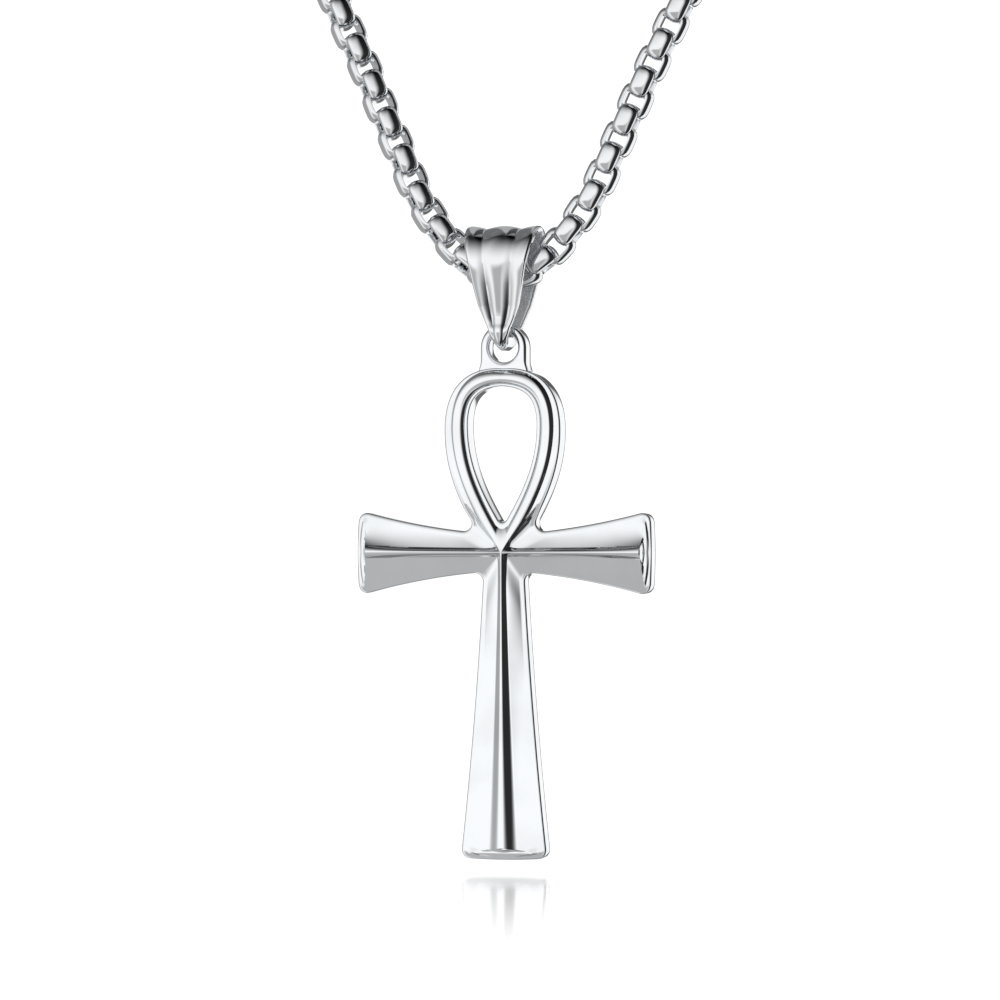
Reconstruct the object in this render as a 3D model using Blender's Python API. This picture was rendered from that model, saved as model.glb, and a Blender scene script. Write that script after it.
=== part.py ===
"""An ankh pendant of polished steel on a round box chain, in the form it has when worn.

Metres, +Z up, the wearer faces -Y. The origin is the middle of the clasp, at the nape.
The pendant hangs in front of the wearer: its loop, arms and stem lie in a plane of X and Z.
"""

import math

import bmesh
import bpy
from mathutils import Matrix, Vector
from mathutils.geometry import intersect_line_line_2d, intersect_point_line

MM = 0.001

# Clearance between pieces that hang in each other
PLAY = 0.3 * MM

# Chain and clasp
CHAIN_RADIUS = 1.5 * MM
CLASP_LENGTH = 13.0 * MM
CLASP_RADIUS = 2.4 * MM
CLASP_END_RADIUS = 1.7 * MM
CLASP_ROUND = 0.5 * MM

# Half of the loop that the chain's middle line makes: its width, depth and height
CHAIN_HALF_WIDTH = 63.0 * MM
CHAIN_DEPTH = 120.0 * MM
CHAIN_DROP = 185.0 * MM

# Its route from the lowest point up the wearer's left side, which is stretched to those sizes
CHAIN_ROUTE = (
    (0.0, 0.0, 0.0),
    (1.9, 0.0, 0.35),
    (3.56, 0.05, 1.45),
    (5.82, 0.15, 3.9),
    (7.79, 0.3, 6.88),
    (9.26, 0.5, 10.16),
    (10.76, 0.7, 13.44),
    (12.18, 0.9, 16.7),
    (13.68, 1.15, 19.86),
    (15.2, 1.4, 23.0),
    (23.0, 4.0, 40.0),
    (39.5, 12.0, 76.0),
    (54.5, 26.0, 109.0),
    (63.0, 45.0, 136.0),
    (63.0, 69.0, 157.0),
    (53.0, 92.0, 171.0),
    (36.0, 108.0, 180.0),
    (18.0, 117.0, 184.0),
    (0.0, 120.0, 185.0),
)
CHAIN_FINE_STEP = 2.4 * MM
CHAIN_STEP = 9.5 * MM
CHAIN_FINE_LENGTH = 32.0 * MM

# Bail: a fluted band that closes below in a bow, which the eye of the ankh hangs on
BAIL_PIVOT_RISE = 1.1 * MM
BAIL_CHAIN_PLAY = 0.85 * MM
BAIL_WALL = 0.75 * MM
BAIL_DROP = 6.4 * MM
BAIL_TOP_HALF_WIDTH = 3.25 * MM
BAIL_EDGE_ROUND = 0.2 * MM
BOW_THICKNESS = 1.25 * MM
BOW_HALF_WIDTH = 0.5 * MM
BOW_DOME = 0.45 * MM
BOW_BEND = 0.7 * MM
FLUTE_DEPTH = 0.37 * MM
FLUTE_SPACING = 0.94

# The leaf's two bends: shares of the way out to the crown's radius, and of its height
LEAF_BENDS = ((0.06, 0.6), (0.95, 0.3))

# Up the bail from the bow to the crown: height, then the shares of the way from the bow's
# half width to the crown's, from the leaf's wall to the bow's thickness, and of the flutes
BAIL_SECTIONS = (
    (0.00, 0.00, 1.0, 0.0),
    (0.05, 0.14, 0.8, 0.25),
    (0.12, 0.24, 0.35, 0.6),
    (0.19, 0.33, 0.1, 0.8),
    (0.31, 0.48, 0.0, 0.95),
    (0.51, 0.62, 0.0, 1.0),
    (0.69, 0.73, 0.0, 0.87),
    (1.00, 1.00, 0.0, 0.67),
)

# Ankh, from the middle of the crossing: arms, stem and loop
ARM_REACH = 12.9 * MM
ARM_ROOT_HALF = 1.62 * MM
ARM_TIP_HALF = 3.78 * MM
ARM_FLARE = 0.14
ARM_TOP_SHARE = 0.95
ARM_HIP = 0.8 * MM
STEM_LENGTH = 26.2 * MM
STEM_ROOT_HALF = 1.75 * MM
STEM_TIP_HALF = 3.84 * MM
STEM_FLARE = 0.3
STEM_HIP = 0.9 * MM
END_BOW = 0.15 * MM
CORNER_RADIUS = 0.8 * MM
CROTCH_RADIUS = 0.7 * MM
LOOP_HEIGHT = 14.97 * MM
LOOP_HALF_WIDTH = 4.08 * MM
LOOP_BELLY_SHARE = 0.713
LOOP_BAND = 2.22 * MM
LOOP_TOP_BAND = 1.55 * MM
LOOP_NARROWING = 4
LOOP_TIP_RADIUS = 0.44 * MM

# How the loop's middle line bends: shares of its half width, of its height up to the belly
# on the way out, and of its height above the belly on the way back
LOOP_BEND_OUT = 0.49
LOOP_BEND_HEIGHTS = (0.321, 0.591)
LOOP_CROWN_RISE = 0.745
LOOP_CROWN_WIDTH = 0.6

# Ankh, its section: a rounded rib over hollow flanks, on a plate with a flat back
PLATE_THICKNESS = 1.75 * MM
RIB_RISE = 0.92 * MM
BACK_SHARE = 0.468
RIM_ACROSS = 0.42 * MM
RIM_SHARE = 0.14
RIM_DEEP = 0.18 * MM
BACK_ACROSS = 0.16 * MM
BACK_DEEP = 0.55 * MM

# The rib at a limb's root, at its tip, and how late it changes: half of its width, the heights
# of its foot and of the rim as shares of the rise, how round its top is from 1 for an edge to
# 3 for a dome, how softly its foot runs out, and how hollow its flank is, from 1 for a flat
# one. The arm's upper and under sides differ, and so do the loop's outer and inner sides
ARM_RIBS = ((0.5 * MM, 0.3, 0.0, 2.0, 0.0, 1.5), (0.6 * MM, 0.7, 0.0, 2.0, 0.0, 3.0), 3)
UNDER_RIBS = ((0.5 * MM, 0.3, 0.0, 2.0, 0.0, 1.2), (0.6 * MM, 0.7, 0.0, 2.0, 0.0, 1.3), 3)
STEM_RIBS = ((0.42 * MM, 0.58, 0.0, 2.0, 2.0, 0.7), (1.5 * MM, 0.3, 0.0, 2.0, 1.6, 2.0), 1.2)
OUTER_RIBS = ((0.7 * MM, 0.6, 0.6, 3.0, 0.0, 1.0), (0.9 * MM, 0.5, 0.5, 2.0, 0.0, 1.0), 3)
INNER_RIBS = ((0.98 * MM, 0.6, 0.6, 3.0, 0.0, 1.0), (0.66 * MM, 0.6, 0.6, 4.0, 0.0, 1.0), 3)
RIB_WIDEST = 0.94

# The same on the lines from the crossing to the arm's two fillets and to the hole, and on the
# line to the middle of a limb's end, with the width as a share of the way to the rim, then
# the share of a limb in which its own rib takes over, and how soon the end's rib does
CROTCH_RIB = (0.25, 0.45, 0.0, 2.0, 1.0, 1.0)
HOLE_RIB = (0.9, 0.6, 0.6, 3.0, 0.0, 1.0)
END_RIB = (0.45, 0.12, 0.0, 1.8, 1.0, 1.0)
RIB_BLEND = 0.12
END_BLEND = 2.4

# A low lip along a limb's end: its share of the rise, the ways from the end up to its top and
# down behind it, the way from the rim in which it begins, and how little it softens the rib
END_LIP = 0.17
END_LIP_FRONT = 0.55 * MM
END_LIP_BACK = 0.75 * MM
END_LIP_START = 0.3 * MM
END_LIP_BLEND = 4

# Where rows of points run: over half of the rib, and from its foot to the rim
RIB_STEPS = (0.0, 0.3, 0.65, 1.0)
FLANK_STEPS = (0.15, 0.4, 0.7, 1.0)

# Round an edge: the shares of its radius outwards and backwards
ROUND_STEPS = ((math.sqrt(0.5), 1 - math.sqrt(0.5)), (1.0, 1.0))

# Eye on top of the loop
EYE_BORE_TO_BOW = 1.0
EYE_WALL = 0.8 * MM
EYE_NECK = 0.53 * MM
EYE_THICKNESS = 1.9 * MM
EYE_BACK_STEP = 0.1 * MM
EYE_ROUND = 0.38 * MM
EYE_FLARE = 0.5 * MM
EYE_FOOT_WIDTH = 0.7
EYE_FOOT_DEPTH = 1.7 * MM

# How finely curves are followed
EDGE_STEPS = 48
END_STEPS = 8
ARM_STATIONS = 15
STEM_STATIONS = 20
LOOP_STATIONS = 36
END_STATIONS = 4
CORNER_STEPS = 8
EYE_STATIONS = 20
BEND_STATIONS = 5
LEAF_STATIONS = 9
CROWN_STATIONS = 9
FLUTE_POINTS = 19
CHAIN_FOLLOWED = 0.5 * MM
CLASP_STATIONS = 6
CLASP_SIDES = 20

# What follows from the sizes above
EYE_BORE_RADIUS = BOW_THICKNESS * EYE_BORE_TO_BOW
EYE_RADIUS = EYE_BORE_RADIUS + EYE_WALL
EYE_CENTRE = LOOP_HEIGHT + LOOP_TOP_BAND / 2 + EYE_NECK + EYE_BORE_RADIUS
BAIL_RADIUS = CHAIN_RADIUS + BAIL_CHAIN_PLAY
BOW_CENTRE = -BAIL_DROP - BOW_THICKNESS / 2
CROSSING = -BAIL_DROP + PLAY - EYE_BORE_RADIUS - EYE_CENTRE
BACK = BACK_SHARE * (PLATE_THICKNESS + RIB_RISE)
RIM = BACK - PLATE_THICKNESS


def clear_scene():
    for old in list(bpy.data.objects):
        bpy.data.objects.remove(old)


def steel(name, colour, roughness):
    material = bpy.data.materials.new(name)
    material.use_nodes = True
    shader = material.node_tree.nodes["Principled BSDF"]
    shader.inputs["Base Color"].default_value = (*colour, 1.0)
    shader.inputs["Roughness"].default_value = roughness
    shader.inputs["Metallic"].default_value = 1.0
    return material


def add_object(name, data, material=None, location=(0, 0, 0), parent=None):
    added = bpy.data.objects.new(name, data)
    bpy.context.collection.objects.link(added)
    added.location = location
    added.parent = parent
    if material:
        data.materials.append(material)
    return added


def mesh_from(name, grids):
    """A mesh of quads over grids of points: rows of equal length, each with the way it closes."""
    shape = bmesh.new()
    for rows, closed_rows, closed_columns in grids:
        corners = [[shape.verts.new(point) for point in row] for row in rows]
        if closed_rows:
            corners.append(corners[0])
        for row, following in zip(corners, corners[1:]):
            if closed_columns:
                row = row + row[:1]
                following = following + following[:1]
            for index in range(len(row) - 1):
                shape.faces.new((row[index], row[index + 1], following[index + 1], following[index]))
    bmesh.ops.remove_doubles(shape, verts=shape.verts, dist=1e-7)
    bmesh.ops.recalc_face_normals(shape, faces=shape.faces)
    mesh = bpy.data.meshes.new(name)
    shape.to_mesh(mesh)
    shape.free()
    mesh.shade_smooth()
    mesh.set_sharp_from_angle(angle=math.radians(40))
    return mesh


def bezier(points, share):
    """The point at a share of the way along a Bezier curve of any degree."""
    while len(points) > 1:
        points = [a.lerp(b, share) for a, b in zip(points, points[1:])]
    return points[0]


def curve_through(points, spacing):
    """Points at most a spacing apart on a smooth curve through the given points."""
    curve = []
    for index in range(len(points) - 1):
        start, end = points[index], points[index + 1]
        before = points[max(index - 1, 0)]
        after = points[min(index + 2, len(points) - 1)]
        pull = (end - start).length / 3
        leave = start + (end - before).normalized() * pull
        arrive = end - (after - start).normalized() * pull
        steps = math.ceil((end - start).length / spacing)
        curve += [bezier([start, leave, arrive, end], step / steps) for step in range(steps)]
    return curve + [points[-1]]


def lengths_along(points):
    lengths = [0.0]
    for a, b in zip(points, points[1:]):
        lengths.append(lengths[-1] + (b - a).length)
    return lengths


def point_at(points, lengths, length):
    """The point at a length along a row of points."""
    for index in range(len(points) - 1):
        if length <= lengths[index + 1]:
            step = lengths[index + 1] - lengths[index]
            return points[index].lerp(points[index + 1], (length - lengths[index]) / step)
    return points[-1].copy()


def spread(points, count):
    """That many steps along a row of points, closest together at its two ends."""
    lengths = lengths_along(points)
    shares = [0.5 - 0.5 * math.cos(math.pi * step / count) for step in range(count + 1)]
    return [point_at(points, lengths, share * lengths[-1]) for share in shares]


def column_at(table, share, column):
    """A column of a table read at a share of its first column, straight between the rows."""
    for row, following in zip(table, table[1:]):
        if share <= following[0]:
            part = (share - row[0]) / (following[0] - row[0])
            return row[column] + part * (following[column] - row[column])
    return table[-1][column]


def flared_edge(reach, root_half, tip_half, flare):
    """An edge that runs out to a reach while it moves away from the middle line."""
    waist = root_half + flare * (tip_half - root_half)
    corners = [Vector((0, root_half)), Vector((reach / 2, waist)), Vector((reach, tip_half))]
    return [bezier(corners, step / EDGE_STEPS) for step in range(EDGE_STEPS + 1)]


def end_edge(reach, tip_half):
    """From the middle of a limb's end to its corner, a little bowed outwards."""
    corners = [Vector((reach + END_BOW, 0)), Vector((reach + END_BOW, tip_half / 2))]
    return [bezier(corners + [Vector((reach, tip_half))], step / END_STEPS)
            for step in range(END_STEPS + 1)]


def loop_middle():
    """The loop's middle line, from the crossing up its right side to the top."""
    belly = LOOP_HEIGHT * LOOP_BELLY_SHARE
    side = [
        Vector((0, 0)),
        Vector((LOOP_BEND_OUT * LOOP_HALF_WIDTH, LOOP_BEND_HEIGHTS[0] * belly)),
        Vector((LOOP_HALF_WIDTH, LOOP_BEND_HEIGHTS[1] * belly)),
        Vector((LOOP_HALF_WIDTH, belly)),
    ]
    crown = [
        Vector((LOOP_HALF_WIDTH, belly)),
        Vector((LOOP_HALF_WIDTH, belly + LOOP_CROWN_RISE * (LOOP_HEIGHT - belly))),
        Vector((LOOP_CROWN_WIDTH * LOOP_HALF_WIDTH, LOOP_HEIGHT)),
        Vector((0, LOOP_HEIGHT)),
    ]
    line = [bezier(side, step / EDGE_STEPS) for step in range(EDGE_STEPS)]
    return line + [bezier(crown, step / EDGE_STEPS) for step in range(EDGE_STEPS + 1)]


def loop_edge(middle, side):
    """The loop's outer edge for side 1 and its inner edge for side -1."""
    lengths = lengths_along(middle)
    edge = []
    for index, point in enumerate(middle):
        along = middle[min(index + 1, len(middle) - 1)] - middle[max(index - 1, 0)]
        if index == len(middle) - 1:
            along = Vector((-1, 0))
        along.normalize()
        share = lengths[index] / lengths[-1]
        half_band = (LOOP_BAND + (LOOP_TOP_BAND - LOOP_BAND) * share**LOOP_NARROWING) / 2
        edge.append(point + side * half_band * Vector((along.y, -along.x)))
    return edge


def cut_at_crossing(first, second):
    """Two rows of points, each cut back to start where they cross."""
    for i in range(len(first) - 1):
        for j in range(len(second) - 1):
            meeting = intersect_line_line_2d(first[i], first[i + 1], second[j], second[j + 1])
            if meeting:
                return [meeting] + first[i + 1 :], [meeting] + second[j + 1 :]
    raise ValueError("the two edges don't cross")


def set_off(points, distance):
    """A row of points moved sideways in the plane, to the right of its way for a positive distance."""
    moved = []
    for index, point in enumerate(points):
        along = points[min(index + 1, len(points) - 1)] - points[max(index - 1, 0)]
        along.normalize()
        moved.append(point + distance * Vector((along.y, -along.x)))
    return moved


def touched(points, centre):
    """The place on a row of points nearest to a centre, and the points that follow it."""
    nearest = None
    for index in range(len(points) - 1):
        foot, share = intersect_point_line(centre, points[index], points[index + 1])
        foot = points[index].lerp(points[index + 1], min(max(share, 0), 1))
        if nearest is None or (foot - centre).length < (nearest[0] - centre).length:
            nearest = foot, points[index + 1 :]
    return nearest


def rounded(first, second, radius):
    """Two edges that start at one corner, joined by an arc: each then starts at its middle."""
    turn = (first[1] - first[0]).cross(second[1] - second[0])
    side = -math.copysign(radius, turn)
    centre = cut_at_crossing(set_off(first, side), set_off(second, -side))[0][0]
    feet = [touched(edge, centre) for edge in (first, second)]
    middle = (feet[0][0] + feet[1][0]) / 2 - centre
    halves = []
    for foot, rest in feet:
        turn = math.atan2(middle.cross(foot - centre), middle.dot(foot - centre))
        arc = []
        for step in range(CORNER_STEPS + 1):
            angle = math.atan2(middle.y, middle.x) + turn * step / CORNER_STEPS
            arc.append(centre + radius * Vector((math.cos(angle), math.sin(angle))))
        halves.append(arc + rest)
    return halves


def outward_normals(rim, crest):
    """Unit vectors in the plane, square to the rim and away from the crest."""
    normals = []
    for index, point in enumerate(rim):
        along = rim[min(index + 1, len(rim) - 1)] - rim[max(index - 1, 0)]
        normal = Vector((along.y, -along.x)).normalized()
        if normal.dot(point - crest[index]) < 0:
            normal.negate()
        if abs(point.x) < 1e-9:
            normal = Vector((0, math.copysign(1, normal.y)))
        if abs(point.y) < 1e-9:
            normal = Vector((math.copysign(1, normal.x), 0))
        normals.append(normal)
    return normals


def blended(first, second, share):
    return tuple(a + share * (b - a) for a, b in zip(first, second))


def rib_at(edge, ridge_line, length_share, ribs, mitre_rib):
    """The rib's numbers on one row, the first as a share of the way across."""
    feet = [touched(ridge_line, edge)[0], ridge_line[-1]]
    reach = min((edge - foot).length for foot in feet)
    root, tip, growth = ribs
    half, *others = blended(root, tip, length_share**growth)
    plain = (min(half / reach, RIB_WIDEST), *others)
    blend = min(length_share / RIB_BLEND, 1)
    return blended(mitre_rib, plain, blend * blend * (3 - 2 * blend))


def lip_rise(point, to_rim):
    """How high the low lip along a limb's end stands at a point of the front."""
    inwards = min(ARM_REACH - abs(point.x), STEM_LENGTH + point.y) + END_BOW
    front = min(inwards / END_LIP_FRONT, 1)
    behind = min(max((inwards - END_LIP_FRONT) / END_LIP_BACK, 0), 1)
    slope = 1 - behind * behind * (3 - 2 * behind)
    return END_LIP * front * slope * min(to_rim / END_LIP_START, 1)


def section_rows(rim, crest, ribs):
    """Rows of points in space across one bay, from the rib's crest over the rim to the back."""
    rows = []
    for edge, ridge, normal, rib in zip(rim, crest, outward_normals(rim, crest), ribs):
        foot, foot_rise, rim_rise, top, soft, hollow = rib
        roll = min(RIM_ACROSS, RIM_SHARE * (edge - ridge).length)
        lip = edge - normal * roll
        profile = []
        for step in RIB_STEPS:
            fall = step**top * (1 + soft * (1 - step))
            profile.append((foot * step, 1 - (1 - foot_rise) * fall))
        for step in FLANK_STEPS:
            left = (1 - step) ** hollow if hollow > 1 else 1 - step ** (1 / hollow)
            rise = rim_rise + (foot_rise - rim_rise) * left
            profile.append((foot + (1 - foot) * step, rise))
        row = []
        for across, rise in profile:
            point = ridge.lerp(lip, across)
            lip_share = lip_rise(point, (lip - point).length)
            rise = (rise**END_LIP_BLEND + lip_share**END_LIP_BLEND) ** (1 / END_LIP_BLEND)
            row.append((point, RIM - rise * RIB_RISE))
        front = RIM - rim_rise * RIB_RISE
        for bend, dip in ROUND_STEPS:
            row.append((lip + normal * roll * bend, front + RIM_DEEP * dip))
        for bend, dip in ROUND_STEPS[::-1]:
            row.append((edge - normal * BACK_ACROSS * (1 - bend), BACK - BACK_DEEP * dip))
        row += [(edge - normal * BACK_ACROSS, BACK), (ridge, BACK)]
        rows.append([Vector((point.x, depth, point.y)) for point, depth in row])
    return rows


def limb_bay(side_edge, limb_end, ridge_end, stations, limb_ribs):
    """Rim, crest and ribs of half a limb, from the middle of its fillet to its end."""
    side_back, end_back = rounded(side_edge[::-1], limb_end[::-1], CORNER_RADIUS)
    rim = spread(side_back[::-1], stations)
    ridge_line = [Vector((0, 0)), ridge_end]
    crest = spread(ridge_line, stations)
    ribs = []
    for edge, ridge in zip(rim, crest):
        length_share = ridge.length / ridge_end.length
        ribs.append(rib_at(edge, ridge_line, length_share, limb_ribs, CROTCH_RIB))
    rim += spread(end_back, END_STATIONS)[1:]
    crest += [ridge_end] * END_STATIONS
    last = ribs[-1]
    for number in range(END_STATIONS):
        ribs.append(blended(last, END_RIB, min(END_BLEND * (number + 1) / END_STATIONS, 1)))
    return rim, crest, ribs


def loop_bay(edge_line, ridge_line, mitre_rib, loop_ribs):
    """Rim, crest and ribs of one side of the loop, from the crossing to the top."""
    rim = spread(edge_line, LOOP_STATIONS)
    crest = spread(ridge_line, LOOP_STATIONS)
    ribs = []
    for number, edge in enumerate(rim):
        length_share = 0.5 - 0.5 * math.cos(math.pi * number / LOOP_STATIONS)
        ribs.append(rib_at(edge, ridge_line, length_share, loop_ribs, mitre_rib))
    return rim, crest, ribs


def turned_down(points):
    """Points given along +X laid along the stem, which runs down."""
    return [Vector((point.y, -point.x)) for point in points]


def ankh_half():
    """The grids of the ankh's right half: stem and arm, arm and loop, loop and its hole."""
    under_edge = flared_edge(ARM_REACH, ARM_ROOT_HALF, ARM_TIP_HALF, ARM_FLARE)
    under_end = end_edge(ARM_REACH, ARM_TIP_HALF)
    arm_edge = [Vector((point.x, point.y * ARM_TOP_SHARE)) for point in under_edge]
    arm_end = [Vector((point.x, point.y * ARM_TOP_SHARE)) for point in under_end]
    stem_edge = turned_down(flared_edge(STEM_LENGTH, STEM_ROOT_HALF, STEM_TIP_HALF, STEM_FLARE))
    stem_end = turned_down(end_edge(STEM_LENGTH, STEM_TIP_HALF))
    under_arm = [Vector((point.x, -point.y)) for point in under_edge]
    under_arm_end = [Vector((point.x, -point.y)) for point in under_end]
    middle = loop_middle()
    arm_ridge = Vector((ARM_REACH - ARM_HIP, 0))
    stem_ridge = Vector((0, STEM_HIP - STEM_LENGTH))

    lower_arm, stem_side = rounded(*cut_at_crossing(under_arm, stem_edge), CROTCH_RADIUS)
    upper_arm, loop_side = rounded(*cut_at_crossing(arm_edge, loop_edge(middle, 1)), CROTCH_RADIUS)
    inner_edge = loop_edge(middle, -1)
    mirrored_edge = [Vector((-point.x, point.y)) for point in inner_edge]
    hole_side = rounded(*cut_at_crossing(inner_edge, mirrored_edge), LOOP_TIP_RADIUS)[0]

    bays = [
        (limb_bay(lower_arm, under_arm_end, arm_ridge, ARM_STATIONS, UNDER_RIBS),
         limb_bay(stem_side, stem_end, stem_ridge, STEM_STATIONS, STEM_RIBS)),
        (limb_bay(upper_arm, arm_end, arm_ridge, ARM_STATIONS, ARM_RIBS),
         loop_bay(loop_side, middle, CROTCH_RIB, OUTER_RIBS)),
        (([], [], []), loop_bay(hole_side, middle, HOLE_RIB, INNER_RIBS)),
    ]
    grids = []
    for near, far in bays:
        rim, crest, ribs = (one[:0:-1] + other for one, other in zip(near, far))
        grids.append((section_rows(rim, crest, ribs), False, False))
    return grids


def eye_section(inner, outer):
    """A rounded ring of points between a place on the bore and one on the eye's outside."""
    back = BACK - EYE_BACK_STEP
    front = back - EYE_THICKNESS
    length = (outer - inner).length
    corner = [(1 - bend, dip) for bend, dip in ROUND_STEPS[::-1]] + [(1.0, 0.0)]
    ring = [(across * EYE_ROUND, front + deep * EYE_ROUND) for across, deep in corner]
    ring += [(length - across * EYE_ROUND, front + deep * EYE_ROUND) for across, deep in corner[::-1]]
    ring += [(length - across * EYE_ROUND, back - deep * EYE_ROUND) for across, deep in corner]
    ring += [(across * EYE_ROUND, back - deep * EYE_ROUND) for across, deep in corner[::-1]]
    way = (outer - inner) / length
    return [Vector((inner.x + way.x * across, depth, inner.y + way.y * across)) for across, depth in ring]


def eye_mesh():
    """The eye: a thick ring whose shoulders run down into the loop's top."""
    centre = Vector((0, EYE_CENTRE))
    neck = EYE_CENTRE - EYE_BORE_RADIUS
    shoulder = [
        Vector((EYE_RADIUS + EYE_FLARE, neck - EYE_FOOT_DEPTH)),
        Vector((EYE_RADIUS, neck - EYE_FLARE / 2)),
        Vector((EYE_RADIUS, neck)),
    ]
    foot = Vector((EYE_RADIUS * EYE_FOOT_WIDTH, LOOP_HEIGHT - LOOP_TOP_BAND / 4))
    side = [Vector((0, LOOP_HEIGHT)), foot]
    side += [bezier(shoulder, step / EYE_STATIONS) for step in range(EYE_STATIONS + 1)]
    for step in range(EYE_STATIONS + 1):
        angle = math.radians(90 * step / EYE_STATIONS)
        side.append(centre + EYE_RADIUS * Vector((math.cos(angle), math.sin(angle))))
    outside = spread(side, EYE_STATIONS)
    rows = []
    for point in outside:
        rows.append(eye_section(centre + EYE_BORE_RADIUS * (point - centre).normalized(), point))
    rows += [[Vector((-point.x, point.y, point.z)) for point in row] for row in rows[-2:0:-1]]
    return mesh_from("eye", [(rows, True, True)])


def add_ankh(material, bail):
    """The ankh, with its origin on the bow it swings on."""
    drop = CROSSING - BOW_CENTRE
    grids = []
    for rows, closed_rows, closed_columns in ankh_half():
        grids.append(([[point + Vector((0, 0, drop)) for point in row] for row in rows],
                      closed_rows, closed_columns))
    mesh = mesh_from("ankh", grids)
    ankh = add_object("ankh", mesh, material, (0, 0, BOW_CENTRE), bail)
    mirror = ankh.modifiers.new("left half", "MIRROR")
    mirror.merge_threshold = 1e-6
    eye = add_object("eye", eye_mesh(), location=(0, 0, drop), parent=ankh)
    eye.hide_render = True
    eye.display_type = "WIRE"
    union = ankh.modifiers.new("eye", "BOOLEAN")
    union.operation = "UNION"
    union.object = eye
    return ankh


def bail_inside():
    """The bail's inner line in depth and height from its pivot, from the bow up to the crown."""
    eye_gap = BACK - EYE_BACK_STEP + PLAY
    line = [Vector((0, -BAIL_DROP))]
    for step in range(BEND_STATIONS + 1):
        angle = math.radians(90 * step / BEND_STATIONS)
        bend = BOW_BEND * Vector((math.sin(angle), 1 - math.cos(angle)))
        line.append(Vector((eye_gap - BOW_BEND, -BAIL_DROP)) + bend)
    foot = line.pop()
    spread_out = BAIL_RADIUS - eye_gap
    leaf = [
        foot,
        *(Vector((eye_gap + out * spread_out, height * foot.y)) for out, height in LEAF_BENDS),
        Vector((BAIL_RADIUS, 0)),
    ]
    line += [bezier(leaf, step / LEAF_STATIONS) for step in range(LEAF_STATIONS)]
    for step in range(CROWN_STATIONS + 1):
        angle = math.radians(90 * step / CROWN_STATIONS)
        line.append(BAIL_RADIUS * Vector((math.cos(angle), math.sin(angle))))
    return line


def bail_ring(inner, normal):
    """One ring of points round the band: the fluted outside, the edges and the plain inside."""
    share = (inner.y + BAIL_DROP) / (BAIL_RADIUS + BAIL_DROP)
    width_share, bow_share, flute_share = (column_at(BAIL_SECTIONS, share, n) for n in (1, 2, 3))
    half_width = BOW_HALF_WIDTH + width_share * (BAIL_TOP_HALF_WIDTH - BOW_HALF_WIDTH)
    wall = BAIL_WALL + bow_share * (BOW_THICKNESS - BAIL_WALL)
    ring = []
    for number in range(FLUTE_POINTS):
        across = 2 * number / (FLUTE_POINTS - 1) - 1
        lobe = abs(math.cos(math.pi * across / FLUTE_SPACING))
        outside = wall - flute_share * FLUTE_DEPTH * (1 - lobe) - bow_share * BOW_DOME * across**2
        ring.append((across * (half_width - BAIL_EDGE_ROUND), outside))
    shoulder = ring[-1][1] - BAIL_EDGE_ROUND
    ring.append((half_width, shoulder))
    ring.append((half_width, BAIL_EDGE_ROUND))
    for across in (1, 0, -1):
        ring.append((across * (half_width - BAIL_EDGE_ROUND), 0))
    ring.append((-half_width, BAIL_EDGE_ROUND))
    ring.append((-half_width, shoulder))
    points = []
    for sideways, outwards in ring:
        place = inner + normal * outwards
        points.append(Vector((sideways, place.x, place.y)))
    return points


def add_bail(material, chain):
    """The bail, with its origin on the line it swings about, in the middle of its crown."""
    half = bail_inside()
    rings = []
    for index, inner in enumerate(half):
        along = half[min(index + 1, len(half) - 1)] - half[max(index - 1, 0)]
        normal = Vector((along.y, -along.x)).normalized()
        if index in (0, len(half) - 1):
            normal = Vector((0, math.copysign(1, inner.y)))
        rings.append(bail_ring(inner, normal))
    behind = [[Vector((point.x, -point.y, point.z)) for point in ring] for ring in rings[-2:0:-1]]
    mesh = mesh_from("bail", [(rings + behind, True, True)])
    return add_object("bail", mesh, material, chain_half()[0] + Vector((0, 0, BAIL_PIVOT_RISE)), chain)


def chain_half():
    """The chain's route at its sizes, from its lowest point to the nape, where the origin is."""
    widest = max(across for across, back, up in CHAIN_ROUTE)
    across, back, up = CHAIN_ROUTE[-1]
    stretch = Matrix.Diagonal((CHAIN_HALF_WIDTH / widest, CHAIN_DEPTH / back, CHAIN_DROP / up))
    nape = Vector((0, CHAIN_DEPTH, CHAIN_DROP))
    return [stretch @ Vector(point) - nape for point in CHAIN_ROUTE]


def chain_line():
    """The chain's middle line, from one side of the clasp round the front to the other side."""
    smooth = curve_through(chain_half(), CHAIN_FOLLOWED)
    lengths = lengths_along(smooth)
    end = lengths[-1] - CLASP_LENGTH / 2 - PLAY
    fine_steps = math.ceil(CHAIN_FINE_LENGTH / CHAIN_FINE_STEP)
    far_steps = math.ceil((end - CHAIN_FINE_LENGTH) / CHAIN_STEP)
    stops = [CHAIN_FINE_LENGTH * step / fine_steps for step in range(fine_steps)]
    far_step = (end - CHAIN_FINE_LENGTH) / far_steps
    stops += [CHAIN_FINE_LENGTH + far_step * step for step in range(far_steps + 1)]
    side = [point_at(smooth, lengths, stop) for stop in stops]
    other = [Vector((-point.x, point.y, point.z)) for point in side[:0:-1]]
    return other + side


def add_chain(material):
    line = chain_line()
    curve = bpy.data.curves.new("chain", "CURVE")
    curve.dimensions = "3D"
    curve.bevel_depth = CHAIN_RADIUS
    curve.bevel_resolution = 2
    curve.use_fill_caps = True
    spline = curve.splines.new("POLY")
    spline.points.add(len(line) - 1)
    for slot, point in zip(spline.points, line):
        slot.co = (*point, 1)
    return add_object("chain", curve, material)


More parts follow.
